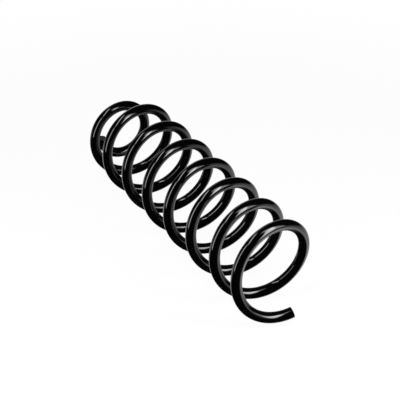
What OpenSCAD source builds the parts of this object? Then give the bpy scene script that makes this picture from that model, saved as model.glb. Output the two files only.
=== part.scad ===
// Helical compression spring for a car's suspension, wound cold from one round steel wire.
// It lies on its side: the coil axis is level and runs along +Y, from the open end to the
// pigtail end. The origin is under the middle of its box, on the surface that it lies on.

/* [Wire] */
// Diameter of the wire
wire_d = 12; // [9:0.5:14]
// Width of the small bevel round each cut end of the wire
edge_break = 0.5; // [0.2:0.1:1.5]

/* [Body coils] */
// Mean diameter of the body coils, from wire middle to wire middle
coil_d = 95; // [88:1:110]
// Rise of the body coils in one turn
pitch = 50; // [40:0.5:64]
// Turns of wire from tip to tip
turns = 8.28; // [5.28:0.25:12.28]

/* [Open end] */
// How much wider the coil springs out at the open tip, on its diameter
open_spread = 5.5; // [0:0.5:12]
// Turns over which it comes in again to the body coils
open_spread_turns = 0.8; // [0.3:0.05:1]
// Rise of the open end in one turn, which a ramped seat follows
open_pitch = 42.5; // [30:0.5:50]
// Turns at the open end that keep this rise
open_steady = 0.5; // [0:0.05:0.7]
// Turns from the open tip to the full rise of the body coils
open_turns = 0.95; // [0.8:0.05:1.5]

/* [Pigtail end] */
// Mean diameter at the tip of the pigtail, which winds in round a small seat
pigtail_d = 58; // [50:1:66]
// Turns at the pigtail's tip that keep this diameter
pigtail_steady = 0.25; // [0:0.05:0.5]
// Turns from the pigtail's tip to the full diameter of the body coils
pigtail_turns = 1.4; // [1.1:0.05:1.8]
// Turns at the pigtail's tip that lie flat, with no rise
flat_turns = 0.2; // [0:0.05:0.4]
// Turns from the pigtail's tip to the full rise of the body coils
closing_turns = 1.55; // [1.3:0.05:2.2]

/* [Lying] */
// How far round from straight down the open tip comes to lie, in degrees
open_tip_angle = 15; // [0:1:30]

/* [Hidden] */

// Facets round the wire, and steps along one turn
sides = 16;
steps_per_turn = 40;

wire_r = wire_d / 2;
coil_r = coil_d / 2;
pigtail_r = pigtail_d / 2;

// A smooth step from 0 to 1 as x goes from 0 to 1, and the area under it from 0 to x
function eased(x) = x <= 0 ? 0 : x >= 1 ? 1 : x * x * (3 - 2 * x);
function eased_area(x) = x <= 0 ? 0 : x >= 1 ? x - 1 / 2 : pow(x, 3) - pow(x, 4) / 2;

// How far the wire's middle is from the coil axis, t turns from the open tip
function radius_at(t) =
    let (
        spread = 1 - eased(t / open_spread_turns),
        wound_in = 1 - eased((turns - t - pigtail_steady) / (pigtail_turns - pigtail_steady))
    )
    coil_r + open_spread / 2 * spread - (coil_r - pigtail_r) * wound_in;

// What each end climbs along the coil axis in its own first n turns
function open_climb(n) =
    let (span = open_turns - open_steady)
    open_pitch * n + (pitch - open_pitch) * span * eased_area((n - open_steady) / span);
function pigtail_climb(n) =
    let (span = closing_turns - flat_turns)
    pitch * span * eased_area((n - flat_turns) / span);

// How far along the coil axis the wire has come, t turns from the open tip
function reach_at(t) = open_climb(t) + pigtail_climb(turns) - pigtail_climb(turns - t) - pitch * t;

// The wire's middle, wound right-handed about +Y from beside the lowest line of the coils
function outward_at(t) =
    let (a = 360 * t - open_tip_angle)
    [-sin(a), 0, -cos(a)];
function middle_at(t) = radius_at(t) * outward_at(t) + [0, reach_at(t), 0];

// The way the wire runs, from two points this part of a turn apart
tiny_turn = 1e-4;
function unit(v) = v / norm(v);
function heading_at(t) = unit(middle_at(t + tiny_turn / 2) - middle_at(t - tiny_turn / 2));

// A ring of points square to the wire, r from its middle
function ring_at(t, r) =
    let (
        heading = heading_at(t),
        side = unit(cross(heading, outward_at(t))),
        out = cross(side, heading)
    )
    [
        for (i = [0 : sides - 1])
            let (a = 360 * i / sides)
            middle_at(t) + r * (cos(a) * out + sin(a) * side)
    ];

// The part of a turn that the bevel takes up at each cut end
open_bevel = edge_break * tiny_turn / norm(middle_at(tiny_turn) - middle_at(0));
pigtail_bevel = edge_break * tiny_turn / norm(middle_at(turns) - middle_at(turns - tiny_turn));

// The rings' places, in turns from the open tip. Half a step lies either side of straight down,
// so each coil has a flat there, and the first and last rings keep half a step from the ends.
step = 1 / steps_per_turn;
straight_down = open_tip_angle / 360;
first_ring = straight_down - step * (floor(straight_down / step) - 1 / 2);
last_ring = turns - step / 2;

rings = [
    ring_at(0, wire_r - edge_break),
    ring_at(open_bevel, wire_r),
    for (t = [first_ring : step : last_ring]) ring_at(t, wire_r),
    ring_at(turns - pigtail_bevel, wire_r),
    ring_at(turns, wire_r - edge_break)
];

// The box round the wire; the middle of its lower face becomes the origin
skin_points = [for (ring = rings) each ring];
low = [for (axis = [0 : 2]) min([for (p = skin_points) p[axis]])];
high = [for (axis = [0 : 2]) max([for (p = skin_points) p[axis]])];
origin = [(low.x + high.x) / 2, (low.y + high.y) / 2, low.z];

// The closed skin of the wire, over its rings from one cut end to the other
module wire_skin() {
    last = len(rings) - 1;
    open_cut = [for (i = [0 : sides - 1]) i];
    pigtail_cut = [for (i = [sides - 1 : -1 : 0]) last * sides + i];
    walls = [
        for (k = [0 : last - 1], i = [0 : sides - 1])
            let (
                a = k * sides + i,
                b = k * sides + (i + 1) % sides,
                c = b + sides,
                d = a + sides
            )
            each [[a, d, c], [a, c, b]]
    ];
    polyhedron(points = skin_points, faces = concat([open_cut, pigtail_cut], walls));
}

module coil() {
    color([0.03, 0.03, 0.035])
        translate(-origin)
            wire_skin();
}

coil();
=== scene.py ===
"""Winds a gloss black suspension spring from one round wire and sets it in a plain white studio."""
import math
from typing import NamedTuple

import bmesh
import bpy
from bpy.props import FloatProperty, FloatVectorProperty, IntProperty, PointerProperty
from mathutils import Matrix, Quaternion, Vector


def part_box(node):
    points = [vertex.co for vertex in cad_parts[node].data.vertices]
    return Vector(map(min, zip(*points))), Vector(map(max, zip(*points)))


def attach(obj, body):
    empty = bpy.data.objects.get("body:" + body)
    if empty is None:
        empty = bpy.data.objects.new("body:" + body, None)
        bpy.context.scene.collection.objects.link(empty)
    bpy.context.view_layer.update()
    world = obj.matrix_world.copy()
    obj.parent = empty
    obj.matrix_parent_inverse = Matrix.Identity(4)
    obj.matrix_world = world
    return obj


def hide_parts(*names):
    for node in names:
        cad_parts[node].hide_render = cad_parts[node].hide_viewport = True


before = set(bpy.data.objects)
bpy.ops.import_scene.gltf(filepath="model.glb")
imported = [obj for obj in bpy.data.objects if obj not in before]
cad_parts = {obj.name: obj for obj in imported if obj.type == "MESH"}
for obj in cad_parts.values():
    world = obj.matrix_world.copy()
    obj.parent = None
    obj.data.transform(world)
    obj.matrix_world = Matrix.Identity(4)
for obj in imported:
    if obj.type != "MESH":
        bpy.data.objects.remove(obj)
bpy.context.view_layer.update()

bl_info = {
    "name": "Suspension spring",
    "version": (1, 0, 0),
    "blender": (4, 5, 0),
    "location": "3D View > Sidebar > Spring",
    "description": "Winds a painted coil spring with an open end and a pigtail end, in a plain studio",
    "category": "Add Mesh",
}

COIL_NODE = "coil"
COIL_BODY = "root"
# The mesh attribute that marks where the paint is thin
THIN_PAINT = "thin_paint"
WHITE = (1, 1, 1, 1)


def length(name, description, default):
    """A length in metres, for the panel."""
    return FloatProperty(
        name=name,
        description=description,
        default=default,
        min=0,
        precision=5,
        subtype="DISTANCE",
        unit="LENGTH",
    )


def angle(name, description, degrees):
    """An angle, for the panel. Its default is given in degrees."""
    return FloatProperty(
        name=name,
        description=description,
        default=math.radians(degrees),
        subtype="ANGLE",
        unit="ROTATION",
    )


def amount(name, description, default):
    """A plain number from 0 up, for the panel."""
    return FloatProperty(name=name, description=description, default=default, min=0, precision=3)


def colour(name, description, default):
    """A colour, for the panel."""
    return FloatVectorProperty(
        name=name,
        description=description,
        default=default,
        size=3,
        min=0,
        max=1,
        subtype="COLOR",
    )


class CoilSizes(bpy.types.PropertyGroup):
    """Sizes of the wound wire. Turns are counted along the wire, from the tip that each name gives."""

    wire_diameter: length("Wire diameter", "Diameter of the round wire, over its paint", 0.012)
    cut_edge: length("Cut edge", "Radius of the rounded edge of each cut end", 0.0005)
    coil_diameter: length("Coil diameter", "Mean diameter of the body coils", 0.095)
    pitch: length("Pitch", "Rise of the body coils in one turn", 0.050)
    turns: amount("Turns", "Turns of wire from tip to tip", 8.28)

    open_spread: length("Open spread", "How much wider the coil springs out at the open tip", 0.0055)
    open_spread_turns: amount("Spread turns", "Turns over which it comes in to the body coils", 0.8)
    open_pitch: length("Open pitch", "Rise of the open end in one turn", 0.0425)
    open_steady: amount("Open steady", "Turns at the open end that keep this rise", 0.5)
    open_turns: amount("Open turns", "Turns from the open tip to the full rise", 0.95)

    pigtail_diameter: length("Pigtail diameter", "Mean diameter at the tip of the pigtail", 0.058)
    pigtail_steady: amount("Pigtail steady", "Turns at the pigtail's tip that keep this diameter", 0.25)
    pigtail_turns: amount("Pigtail turns", "Turns from the pigtail's tip to the full diameter", 1.4)
    flat_turns: amount("Flat turns", "Turns at the pigtail's tip that have no rise", 0.2)
    closing_turns: amount("Closing turns", "Turns from the pigtail's tip to the full rise", 1.55)

    open_tip_angle: angle("Open tip angle", "How far round from straight down the open tip lies", 15)
    sides: IntProperty(name="Sides", description="Faces round the wire", default=40, min=8, max=64)
    turn_steps: IntProperty(
        name="Steps", description="Faces along one turn", default=144, min=24, max=240
    )


class PaintFinish(bpy.types.PropertyGroup):
    """The sprayed gloss paint over the steel"""

    paint_colour: colour("Paint", "Colour of the paint", (0.001, 0.001, 0.001))
    thin_colour: colour(
        "Thin paint", "Colour where the paint draws back from a sharp edge", (0.02, 0.02, 0.021)
    )
    roughness: amount("Roughness", "Roughness of the gloss paint", 0.04)
    cut_roughness: amount("Cut roughness", "Roughness of the paint on the cut ends", 0.22)
    roughness_spread: amount("Roughness spread", "How much the roughness varies from place to place", 0.02)
    peel_size: length("Peel size", "Width of one dimple of the orange peel", 0.0022)
    peel_depth: length("Peel depth", "Depth of the orange peel", 0.000003)
    wave_size: length("Wave size", "Length of the paint's slow waves", 0.016)
    wave_depth: length("Wave depth", "Depth of the paint's slow waves", 0.00006)
    mark_size: length("Mark size", "Spacing of the shear marks under the paint of a cut end", 0.0009)
    mark_depth: length("Mark depth", "Depth of the shear marks", 0.00002)


class StudioPlan(bpy.types.PropertyGroup):
    """The camera, the floor and the room. Azimuth 0 is along +Y and 90 along -X."""

    camera_azimuth: angle("Camera azimuth", "The way the camera looks", -30)
    camera_elevation: angle("Camera elevation", "How far the camera looks down", 31.546)
    camera_distance: length("Camera distance", "From the camera to its target", 1.4474)
    camera_target: FloatVectorProperty(
        name="Camera target",
        description="The point at the middle of the frame",
        default=(0.0049, -0.0038, 0.0536),
        size=3,
        subtype="XYZ",
        unit="LENGTH",
    )
    camera_lens: amount("Lens", "Focal length in millimetres, on a 36 mm sensor", 115)

    floor_radius: length("Floor radius", "Radius of the round floor", 3)
    floor_white: amount("Floor white", "Share of the floor's colour that no shadow dims", 0.95)
    floor_fade_from: length("Floor fade from", "Where the floor starts to turn plain white", 0.35)
    floor_fade_to: length("Floor fade to", "Where the floor has turned plain white", 0.8)

    room_dark: amount("Room dark", "Brightness of the room that the gloss reflects", 0.005)
    room_fill: amount("Room fill", "Brightness of the room as fill light", 0.2)


class Softbox(NamedTuple):
    """A softbox or a lit card. Its place is seen from the spring's middle, which it faces.

    Angles are in degrees and lengths in metres. A brightness of 1 is that of a white background.
    Each fade is the share of the half width or half height that fades out to the edge.
    """

    name: str
    azimuth: float
    elevation: float
    roll: float
    distance: float
    width: float
    height: float
    brightness: float
    width_fade: float
    height_fade: float


class FloorEdge(NamedTuple):
    """A straight soft edge of a floor. The floor lies to the side that azimuth and tilt point to.

    Angles are in degrees. The softness is the sine of the angle over which half the edge fades.
    """

    azimuth: float
    tilt: float
    softness: float


class GlossFloor(NamedTuple):
    """A part of the white floor that only the gloss shows.

    It starts at the horizon, which is given with its softness as sines of the angle below level.
    Its brightness has a value at level, grows toward straight down and has an upper bound.
    """

    horizon: float
    softness: float
    at_level: float
    growth: float
    most: float
    edges: tuple


class RoomPanel(NamedTuple):
    """A far white panel that only the gloss shows.

    Angles are in degrees. The half sizes and the fade are shares of its distance.
    """

    azimuth: float
    elevation: float
    roll: float
    half_width: float
    half_height: float
    fade: float
    brightness: float


SOFTBOXES = (
    Softbox(
        "softbox_right",
        azimuth=-155.3,
        elevation=21.9,
        roll=3.2,
        distance=0.6,
        width=0.2,
        height=0.56,
        brightness=12,
        width_fade=0.6,
        height_fade=0.5,
    ),
    Softbox(
        "softbox_right_glow",
        azimuth=-149.5,
        elevation=31.6,
        roll=-14.7,
        distance=0.63,
        width=0.19,
        height=1.03,
        brightness=4,
        width_fade=0.68,
        height_fade=0.33,
    ),
    Softbox(
        "softbox_left",
        azimuth=94.7,
        elevation=28.6,
        roll=3,
        distance=0.475,
        width=0.21,
        height=0.522,
        brightness=8.5,
        width_fade=1.0,
        height_fade=0.25,
    ),
    Softbox(
        "softbox_overhead",
        azimuth=73.3,
        elevation=68.9,
        roll=13.3,
        distance=0.68,
        width=0.636,
        height=0.17,
        brightness=10.5,
        width_fade=0.33,
        height_fade=1.0,
    ),
    Softbox(
        "card_low_right",
        azimuth=-145.3,
        elevation=-26.5,
        roll=-42.7,
        distance=0.37,
        width=0.16,
        height=0.451,
        brightness=1.4,
        width_fade=0.98,
        height_fade=0.47,
    ),
)

GLOSS_FLOORS = (
    GlossFloor(
        horizon=0.097,
        softness=0.05,
        at_level=0.0,
        growth=2.53,
        most=1.6,
        edges=(
            FloorEdge(azimuth=-43.4, tilt=7, softness=0.10),
            FloorEdge(azimuth=-110, tilt=39, softness=0.60),
        ),
    ),
    GlossFloor(
        horizon=-0.013,
        softness=0.30,
        at_level=0.64,
        growth=1.94,
        most=1.6,
        edges=(
            FloorEdge(azimuth=-28, tilt=45, softness=0.14),
            FloorEdge(azimuth=100, tilt=-26, softness=0.33),
        ),
    ),
)

ROOM_PANELS = (
    RoomPanel(
        azimuth=-15,
        elevation=9,
        roll=38,
        half_width=0.25,
        half_height=0.51,
        fade=0.24,
        brightness=0.85,
    ),
)


def eased(x):
    """A smooth step from 0 to 1 as x goes from 0 to 1."""
    x = min(max(x, 0), 1)
    return x * x * (3 - 2 * x)


def eased_area(x):
    """The area under the smooth step, from 0 to x."""
    if x <= 0:
        return 0
    if x >= 1:
        return x - 1 / 2
    return x**3 - x**4 / 2


class WoundWire:
    """The wire's middle line, t turns from the open tip, wound right-handed about +Y."""

    # The part of a turn over which the wire's heading is taken
    TINY_TURN = 1e-4

    def __init__(self, sizes):
        self.sizes = sizes
        self.coil_r = sizes.coil_diameter / 2
        self.pigtail_r = sizes.pigtail_diameter / 2
        self.wire_r = sizes.wire_diameter / 2

    def radius_at(self, t):
        """How far the wire's middle is from the coil axis."""
        s = self.sizes
        spread = 1 - eased(t / s.open_spread_turns)
        wound_in = 1 - eased((s.turns - t - s.pigtail_steady) / (s.pigtail_turns - s.pigtail_steady))
        return self.coil_r + s.open_spread / 2 * spread - (self.coil_r - self.pigtail_r) * wound_in

    def open_climb(self, n):
        """What the open end climbs in its own first n turns."""
        s = self.sizes
        span = s.open_turns - s.open_steady
        return s.open_pitch * n + (s.pitch - s.open_pitch) * span * eased_area((n - s.open_steady) / span)

    def pigtail_climb(self, n):
        """What the pigtail end climbs in its own first n turns."""
        s = self.sizes
        span = s.closing_turns - s.flat_turns
        return s.pitch * span * eased_area((n - s.flat_turns) / span)

    def reach_at(self, t):
        """How far along the coil axis the wire has come."""
        s = self.sizes
        past_pigtail = self.pigtail_climb(s.turns) - self.pigtail_climb(s.turns - t)
        return self.open_climb(t) + past_pigtail - s.pitch * t

    def outward_at(self, t):
        """The way out from the coil axis, which starts beside the lowest line of the coils."""
        a = math.tau * t - self.sizes.open_tip_angle
        return Vector((-math.sin(a), 0, -math.cos(a)))

    def middle_at(self, t):
        """The wire's middle."""
        return self.radius_at(t) * self.outward_at(t) + Vector((0, self.reach_at(t), 0))

    def step_at(self, t):
        """How the middle moves over one tiny part of a turn."""
        half = self.TINY_TURN / 2
        return self.middle_at(t + half) - self.middle_at(t - half)

    def turn_of(self, distance, t):
        """The part of a turn that this much wire takes up near t."""
        return distance * self.TINY_TURN / self.step_at(t).length

    def ring_at(self, t, radius, sides):
        """A ring of points square to the wire."""
        heading = self.step_at(t).normalized()
        side = heading.cross(self.outward_at(t)).normalized()
        out = side.cross(heading)
        middle = self.middle_at(t)
        turns = [math.tau * i / sides for i in range(sides)]
        return [middle + radius * (math.cos(a) * out + math.sin(a) * side) for a in turns]


class Ring(NamedTuple):
    """One ring of the wire's skin: its turn, its radius, how thin its paint is and if it is on a cut."""

    t: float
    radius: float
    thin: float = 0.0
    on_cut: bool = False


# The rings of a cut face, as shares of its radius
CUT_RINGS = (0.25, 0.5, 0.75, 0.93)
# The steps of a cut's rounded edge
EDGE_STEPS = 4
# How far from a cut the paint is at its full thickness again, in edge radii
THIN_REACH = 3


def cut_end_rings(wire, t_cut, inward):
    """The rings of one cut end, from its face out and round its edge. inward is 1 or -1, into the wire.

    The paint is thinnest halfway round the edge.
    """
    edge = wire.sizes.cut_edge
    face_r = wire.wire_r - edge
    rings = [Ring(t_cut, share * face_r, on_cut=True) for share in CUT_RINGS]
    for i in range(EDGE_STEPS + 1):
        a = math.pi / 2 * i / EDGE_STEPS
        depth = edge * (1 - math.cos(a))
        t = t_cut + inward * wire.turn_of(depth, t_cut)
        thin = math.sin(math.pi * (i + 1) / (EDGE_STEPS + 2))
        rings.append(Ring(t, face_r + edge * math.sin(a), thin, on_cut=True))
    t_full = t_cut + inward * wire.turn_of(THIN_REACH * edge, t_cut)
    rings.append(Ring(t_full, wire.wire_r))
    return rings


def wire_rings(wire):
    """All the rings from the open cut to the pigtail cut."""
    s = wire.sizes
    open_end = cut_end_rings(wire, 0, 1)
    pigtail_end = cut_end_rings(wire, s.turns, -1)
    first, last = open_end[-1].t, pigtail_end[-1].t
    steps = round((last - first) * s.turn_steps)
    body = [Ring(first + (last - first) * i / steps, wire.wire_r) for i in range(1, steps)]
    return open_end + body + pigtail_end[::-1]


def wire_mesh(sizes, paint, cut_paint):
    """The wire's closed skin, with its own material on the cuts and the paint's thin places marked."""
    wire = WoundWire(sizes)
    rings = wire_rings(wire)
    sides = sizes.sides
    mesh = bmesh.new()
    thin = mesh.verts.layers.float.new(THIN_PAINT)
    loops = []
    for ring in rings:
        points = wire.ring_at(ring.t, ring.radius, sides)
        loop = [mesh.verts.new(p) for p in points]
        for vert in loop:
            vert[thin] = ring.thin
        loops.append(loop)

    def add_face(corners, on_cut):
        face = mesh.faces.new(corners)
        face.smooth = True
        face.material_index = int(on_cut)

    for k in range(len(loops) - 1):
        on_cut = rings[k].on_cut and rings[k + 1].on_cut
        for i in range(sides):
            j = (i + 1) % sides
            add_face((loops[k][i], loops[k][j], loops[k + 1][j], loops[k + 1][i]), on_cut)
    for loop, t in ((loops[0][::-1], 0), (loops[-1], sizes.turns)):
        hub = mesh.verts.new(wire.middle_at(t))
        for i in range(sides):
            add_face((hub, loop[i], loop[(i + 1) % sides]), True)

    data = bpy.data.meshes.new("spring_wire")
    mesh.to_mesh(data)
    mesh.free()
    data.materials.append(paint)
    data.materials.append(cut_paint)
    return data


def set_into_box(data, low, high):
    """Moves a mesh to the middle of a box, onto its lowest level."""
    points = [v.co for v in data.vertices]
    own_low = Vector([min(p[i] for p in points) for i in range(3)])
    own_high = Vector([max(p[i] for p in points) for i in range(3)])
    move = (low + high - own_low - own_high) / 2
    move.z = low.z - own_low.z
    data.transform(Matrix.Translation(move))


def new_group(name, inputs, outputs):
    """A shader node group with named sockets. inputs and outputs are pairs of a name and a socket type."""
    group = bpy.data.node_groups.new(name, "ShaderNodeTree")
    for label, kind in inputs:
        group.interface.new_socket(name=label, in_out="INPUT", socket_type=kind)
    for label, kind in outputs:
        group.interface.new_socket(name=label, in_out="OUTPUT", socket_type=kind)
    return group


def maths(tree, operation, a, b=None, c=None):
    """A Math node on one to three values, each a number or a socket. Returns its output."""
    node = tree.nodes.new("ShaderNodeMath")
    node.operation = operation
    for socket, value in zip(node.inputs, (a, b, c)):
        if isinstance(value, bpy.types.NodeSocket):
            tree.links.new(value, socket)
        elif value is not None:
            socket.default_value = value
    return node.outputs["Value"]


def soft_step(tree, value, low, high):
    """0 up to low and 1 from high on, with a smooth run between. high may be less than low."""
    node = tree.nodes.new("ShaderNodeMapRange")
    node.interpolation_type = "SMOOTHSTEP"
    tree.links.new(value, node.inputs["Value"])
    node.inputs["From Min"].default_value = low
    node.inputs["From Max"].default_value = high
    return node.outputs["Result"]


# How much finer detail the orange peel and the slow waves have, as Blender's noise counts it
PEEL_DETAIL = 1.5
WAVE_DETAIL = 1.0
# The noise runs from 0 to 1 about this value
NOISE_MIDDLE = 0.5
# The values of the orange peel's noise between which thin paint comes to show
WORN_FROM = 0.35
WORN_TO = 0.65


def sprayed_paint_group():
    """Orange peel, slow waves, uneven gloss and thin edges of sprayed paint."""
    group = new_group(
        "sprayed_paint",
        (
            ("Colour", "NodeSocketColor"),
            ("Thin Colour", "NodeSocketColor"),
            ("Roughness", "NodeSocketFloat"),
            ("Roughness Spread", "NodeSocketFloat"),
            ("Peel Size", "NodeSocketFloat"),
            ("Peel Depth", "NodeSocketFloat"),
            ("Wave Size", "NodeSocketFloat"),
            ("Wave Depth", "NodeSocketFloat"),
        ),
        (
            ("Colour", "NodeSocketColor"),
            ("Roughness", "NodeSocketFloat"),
            ("Height", "NodeSocketFloat"),
        ),
    )
    nodes, links = group.nodes, group.links
    given = nodes.new("NodeGroupInput").outputs
    result = nodes.new("NodeGroupOutput").inputs
    place = nodes.new("ShaderNodeTexCoord").outputs["Object"]
    thin = nodes.new("ShaderNodeAttribute")
    thin.attribute_name = THIN_PAINT

    def noise(size, detail):
        """Noise from 0 to 1, with forms of this size."""
        node = nodes.new("ShaderNodeTexNoise")
        links.new(place, node.inputs["Vector"])
        links.new(maths(group, "DIVIDE", 1.0, size), node.inputs["Scale"])
        node.inputs["Detail"].default_value = detail
        return node.outputs["Fac"]

    peel = noise(given["Peel Size"], PEEL_DETAIL)
    wave = noise(given["Wave Size"], WAVE_DETAIL)
    height = maths(group, "MULTIPLY", peel, given["Peel Depth"])
    height = maths(group, "MULTIPLY_ADD", wave, given["Wave Depth"], height)
    links.new(height, result["Height"])

    spread = given["Roughness Spread"]
    uneven = maths(group, "SUBTRACT", wave, NOISE_MIDDLE)
    roughness = maths(group, "MULTIPLY_ADD", uneven, spread, given["Roughness"])
    roughness = maths(group, "MULTIPLY_ADD", thin.outputs["Fac"], spread, roughness)
    links.new(roughness, result["Roughness"])

    worn = maths(group, "MULTIPLY", thin.outputs["Fac"], soft_step(group, peel, WORN_FROM, WORN_TO))
    mix = nodes.new("ShaderNodeMix")
    mix.data_type = "RGBA"
    links.new(worn, mix.inputs["Factor"])
    links.new(given["Colour"], mix.inputs["A"])
    links.new(given["Thin Colour"], mix.inputs["B"])
    links.new(mix.outputs["Result"], result["Colour"])
    return group


# Width of one band of Blender's wave texture at scale 1
WAVE_BAND = math.pi / 10
# How far the shear marks wander, and how much finer detail they have
MARK_WANDER = 3
MARK_DETAIL = 2


def shear_marks(tree, finish):
    """The height of uneven lines that the cutting tool left across the steel."""
    place = tree.nodes.new("ShaderNodeTexCoord").outputs["Object"]
    wave = tree.nodes.new("ShaderNodeTexWave")
    wave.bands_direction = "Z"
    tree.links.new(place, wave.inputs["Vector"])
    wave.inputs["Scale"].default_value = WAVE_BAND / finish.mark_size
    wave.inputs["Distortion"].default_value = MARK_WANDER
    wave.inputs["Detail"].default_value = MARK_DETAIL
    return maths(tree, "MULTIPLY", wave.outputs["Fac"], finish.mark_depth)


PAINT_IOR = 1.5


def paint_material(name, group, finish, roughness, marks=False):
    """Gloss black paint. With marks, the shear marks of a cut show through it."""
    material = bpy.data.materials.new(name)
    material.use_nodes = True
    tree = material.node_tree
    shader = tree.nodes["Principled BSDF"]
    shader.inputs["IOR"].default_value = PAINT_IOR
    paint = tree.nodes.new("ShaderNodeGroup")
    paint.node_tree = group
    paint.inputs["Colour"].default_value = (*finish.paint_colour, 1)
    paint.inputs["Thin Colour"].default_value = (*finish.thin_colour, 1)
    paint.inputs["Roughness"].default_value = roughness
    paint.inputs["Roughness Spread"].default_value = finish.roughness_spread
    paint.inputs["Peel Size"].default_value = finish.peel_size
    paint.inputs["Peel Depth"].default_value = finish.peel_depth
    paint.inputs["Wave Size"].default_value = finish.wave_size
    paint.inputs["Wave Depth"].default_value = finish.wave_depth
    tree.links.new(paint.outputs["Colour"], shader.inputs["Base Color"])
    tree.links.new(paint.outputs["Roughness"], shader.inputs["Roughness"])
    height = paint.outputs["Height"]
    if marks:
        height = maths(tree, "ADD", height, shear_marks(tree, finish))
    # The heights are in metres, so they keep their size
    bump = tree.nodes.new("ShaderNodeBump")
    bump.inputs["Distance"].default_value = 1
    tree.links.new(height, bump.inputs["Height"])
    tree.links.new(bump.outputs["Normal"], shader.inputs["Normal"])
    return material


class SPRING_OT_wind_coil(bpy.types.Operator):
    """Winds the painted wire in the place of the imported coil"""

    bl_idname = "spring.wind_coil"
    bl_label = "Wind the coil"

    def execute(self, context):
        sizes = context.scene.coil_sizes
        finish = context.scene.paint_finish
        group = sprayed_paint_group()
        paint = paint_material("gloss_black_paint", group, finish, finish.roughness)
        cut_paint = paint_material("painted_cut", group, finish, finish.cut_roughness, marks=True)
        data = wire_mesh(sizes, paint, cut_paint)
        set_into_box(data, *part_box(COIL_NODE))
        piece = bpy.data.objects.new("spring_wire", data)
        context.scene.collection.objects.link(piece)
        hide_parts(COIL_NODE)
        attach(piece, COIL_BODY)
        return {"FINISHED"}


def toward(azimuth, elevation):
    """The direction at this azimuth and elevation, in radians, as seen from the spring."""
    level = math.cos(elevation)
    return Vector((-math.sin(azimuth) * level, math.cos(azimuth) * level, math.sin(elevation)))


def spring_middle():
    """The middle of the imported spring."""
    low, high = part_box(COIL_NODE)
    return (low + high) / 2


def aim(obj, place, target, roll=0):
    """Puts an object at a place and points its -Z axis at the target, with its top up and then rolled."""
    obj.location = place
    turn = (target - place).to_track_quat("-Z", "Y") @ Quaternion((0, 0, 1), -roll)
    obj.rotation_euler = turn.to_euler()


# Width of the camera's sensor in millimetres, for which the lens is given
SENSOR_WIDTH = 36


def add_camera(scene, plan):
    """The camera, at the photograph's viewing angle."""
    data = bpy.data.cameras.new("camera")
    data.sensor_width = SENSOR_WIDTH
    data.lens = plan.camera_lens
    camera = bpy.data.objects.new("camera", data)
    scene.collection.objects.link(camera)
    target = Vector(plan.camera_target)
    back = -toward(plan.camera_azimuth, -plan.camera_elevation)
    aim(camera, target + plan.camera_distance * back, target)
    scene.camera = camera


# Blender's parametric coordinates run from 0 to 1 across a lamp, so this is its middle
LAMP_MIDDLE = 0.5


def add_softbox(scene, softbox):
    """A rectangular area lamp that faces the spring and fades out toward its edges."""
    data = bpy.data.lights.new(softbox.name, "AREA")
    data.shape = "RECTANGLE"
    data.size = softbox.width
    data.size_y = softbox.height
    data.energy = softbox.brightness * math.pi * softbox.width * softbox.height
    data.use_nodes = True
    tree = data.node_tree
    across = tree.nodes.new("ShaderNodeSeparateXYZ")
    surface = tree.nodes.new("ShaderNodeNewGeometry")
    tree.links.new(surface.outputs["Parametric"], across.inputs["Vector"])
    window = 1
    for axis, fade in (("X", softbox.width_fade), ("Y", softbox.height_fade)):
        past_middle = maths(tree, "SUBTRACT", across.outputs[axis], LAMP_MIDDLE)
        off_middle = maths(tree, "ABSOLUTE", past_middle)
        lit = soft_step(tree, off_middle, LAMP_MIDDLE, LAMP_MIDDLE * (1 - fade))
        window = maths(tree, "MULTIPLY", lit, window)
    tree.links.new(window, tree.nodes["Emission"].inputs["Strength"])
    lamp = bpy.data.objects.new(softbox.name, data)
    scene.collection.objects.link(lamp)
    lamp.visible_camera = False
    middle = spring_middle()
    way = toward(math.radians(softbox.azimuth), math.radians(softbox.elevation))
    aim(lamp, middle + softbox.distance * way, middle, math.radians(softbox.roll))


FLOOR_SEGMENTS = 96
PALE_GREY = (0.9, 0.9, 0.9, 1)


def add_floor(scene, plan):
    """A pale round floor that keeps the spring's shadow and turns into the white background further out.

    The gloss shows the room's own parts of a floor in its place. The low card reaches below it, so it
    lets that light through.
    """
    mesh = bmesh.new()
    bmesh.ops.create_circle(mesh, cap_ends=True, segments=FLOOR_SEGMENTS, radius=plan.floor_radius)
    data = bpy.data.meshes.new("floor")
    mesh.to_mesh(data)
    mesh.free()
    floor = bpy.data.objects.new("floor", data)
    scene.collection.objects.link(floor)
    floor.visible_glossy = False
    floor.visible_shadow = False

    material = bpy.data.materials.new("white_floor")
    material.use_nodes = True
    tree = material.node_tree
    tree.nodes.clear()
    place = tree.nodes.new("ShaderNodeNewGeometry").outputs["Position"]
    reach = tree.nodes.new("ShaderNodeVectorMath")
    reach.operation = "LENGTH"
    tree.links.new(place, reach.inputs[0])
    fade = soft_step(tree, reach.outputs["Value"], plan.floor_fade_from, plan.floor_fade_to)
    plain = maths(tree, "MULTIPLY_ADD", fade, 1 - plan.floor_white, plan.floor_white)
    rays = tree.nodes.new("ShaderNodeLightPath")
    share = maths(tree, "MULTIPLY", plain, rays.outputs["Is Camera Ray"])
    pale = tree.nodes.new("ShaderNodeBsdfDiffuse")
    pale.inputs["Color"].default_value = PALE_GREY
    white = tree.nodes.new("ShaderNodeEmission")
    mix = tree.nodes.new("ShaderNodeMixShader")
    tree.links.new(share, mix.inputs["Fac"])
    tree.links.new(pale.outputs["BSDF"], mix.inputs[1])
    tree.links.new(white.outputs["Emission"], mix.inputs[2])
    output = tree.nodes.new("ShaderNodeOutputMaterial")
    tree.links.new(mix.outputs["Shader"], output.inputs["Surface"])
    data.materials.append(material)


def along(tree, way, axis):
    """How much of the direction way lies along an axis."""
    node = tree.nodes.new("ShaderNodeVectorMath")
    node.operation = "DOT_PRODUCT"
    tree.links.new(way, node.inputs[0])
    node.inputs[1].default_value = axis
    return node.outputs["Value"]


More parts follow.
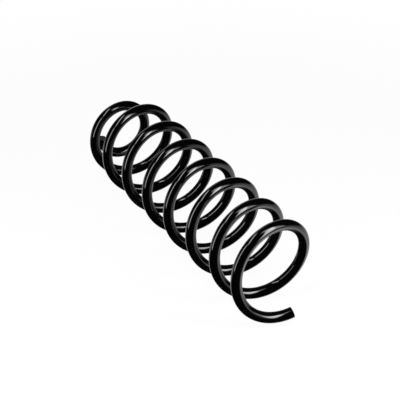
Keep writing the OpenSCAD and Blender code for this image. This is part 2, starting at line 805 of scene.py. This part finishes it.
def room_panel(tree, way, panel):
    """The brightness of a far white panel in the direction of way."""
    facing = toward(math.radians(panel.azimuth), math.radians(panel.elevation))
    across = facing.cross(Vector((0, 0, 1))).normalized()
    across.rotate(Quaternion(facing, -math.radians(panel.roll)))
    up = across.cross(facing)
    ahead = along(tree, way, facing)
    shown = maths(tree, "GREATER_THAN", ahead, 0)
    window = maths(tree, "MULTIPLY", shown, panel.brightness)
    for axis, half in ((across, panel.half_width), (up, panel.half_height)):
        past_middle = maths(tree, "DIVIDE", along(tree, way, axis), ahead)
        off_middle = maths(tree, "ABSOLUTE", past_middle)
        lit = soft_step(tree, off_middle, half + panel.fade, half - panel.fade)
        window = maths(tree, "MULTIPLY", lit, window)
    return window


def gloss_floor(tree, way, part):
    """The brightness of one part of the white floor in the direction of way."""
    down = along(tree, way, Vector((0, 0, -1)))
    window = soft_step(tree, down, part.horizon - part.softness, part.horizon + part.softness)
    for edge in part.edges:
        past_edge = along(tree, way, toward(math.radians(edge.azimuth), math.radians(edge.tilt)))
        lit = soft_step(tree, past_edge, -edge.softness, edge.softness)
        window = maths(tree, "MULTIPLY", lit, window)
    brightness = maths(tree, "MULTIPLY_ADD", down, part.growth, part.at_level)
    brightness = maths(tree, "MINIMUM", brightness, part.most)
    return maths(tree, "MULTIPLY", window, maths(tree, "MAXIMUM", brightness, 0))


def add_room(scene, plan):
    """A plain white background, and a dark room with parts of a white floor and wall in the gloss."""
    world = bpy.data.worlds.new("studio_room")
    scene.world = world
    world.use_nodes = True
    tree = world.node_tree
    nodes, links = tree.nodes, tree.links
    nodes.clear()
    way = nodes.new("ShaderNodeTexCoord").outputs["Generated"]
    gloss = plan.room_dark
    for part in GLOSS_FLOORS:
        gloss = maths(tree, "ADD", gloss_floor(tree, way, part), gloss)
    for panel in ROOM_PANELS:
        gloss = maths(tree, "ADD", room_panel(tree, way, panel), gloss)

    rays = nodes.new("ShaderNodeLightPath").outputs
    mirrored = maths(tree, "MAXIMUM", rays["Is Glossy Ray"], rays["Is Transmission Ray"])
    gloss = maths(tree, "MULTIPLY", gloss, mirrored)
    seen = maths(tree, "ADD", gloss, rays["Is Camera Ray"])
    fill = maths(tree, "MULTIPLY", rays["Is Diffuse Ray"], plan.room_fill)
    strength = maths(tree, "ADD", seen, fill)
    background = nodes.new("ShaderNodeBackground")
    links.new(strength, background.inputs["Strength"])
    background.inputs["Color"].default_value = WHITE
    output = nodes.new("ShaderNodeOutputWorld")
    links.new(background.outputs["Background"], output.inputs["Surface"])


class SPRING_OT_set_stage(bpy.types.Operator):
    """Sets the floor, the white background, the softboxes and the camera"""

    bl_idname = "spring.set_stage"
    bl_label = "Set the studio"

    def execute(self, context):
        scene = context.scene
        plan = scene.studio_plan
        scene.view_settings.view_transform = "Standard"
        add_camera(scene, plan)
        add_floor(scene, plan)
        add_room(scene, plan)
        for softbox in SOFTBOXES:
            add_softbox(scene, softbox)
        return {"FINISHED"}


class SPRING_PT_sidebar(bpy.types.Panel):
    """The spring's sizes, paint and studio"""

    bl_label = "Suspension spring"
    bl_space_type = "VIEW_3D"
    bl_region_type = "UI"
    bl_category = "Spring"

    def draw(self, context):
        scene = context.scene
        steps = (
            ("coil_sizes", SPRING_OT_wind_coil),
            ("paint_finish", None),
            ("studio_plan", SPRING_OT_set_stage),
        )
        for name, operator in steps:
            box = self.layout.box()
            group = getattr(scene, name)
            for key in group.__annotations__:
                box.prop(group, key)
            if operator:
                box.operator(operator.bl_idname)


CLASSES = (
    CoilSizes,
    PaintFinish,
    StudioPlan,
    SPRING_OT_wind_coil,
    SPRING_OT_set_stage,
    SPRING_PT_sidebar,
)


def register():
    """Adds the classes, and their sizes to each scene."""
    for cls in CLASSES:
        bpy.utils.register_class(cls)
    bpy.types.Scene.coil_sizes = PointerProperty(type=CoilSizes)
    bpy.types.Scene.paint_finish = PointerProperty(type=PaintFinish)
    bpy.types.Scene.studio_plan = PointerProperty(type=StudioPlan)


def unregister():
    """Takes all of it away again."""
    del bpy.types.Scene.studio_plan
    del bpy.types.Scene.paint_finish
    del bpy.types.Scene.coil_sizes
    for cls in reversed(CLASSES):
        bpy.utils.unregister_class(cls)


def main():
    """Builds the piece and the stage."""
    register()
    bpy.ops.spring.set_stage()
    bpy.ops.spring.wind_coil()


if __name__ == "__main__":
    main()
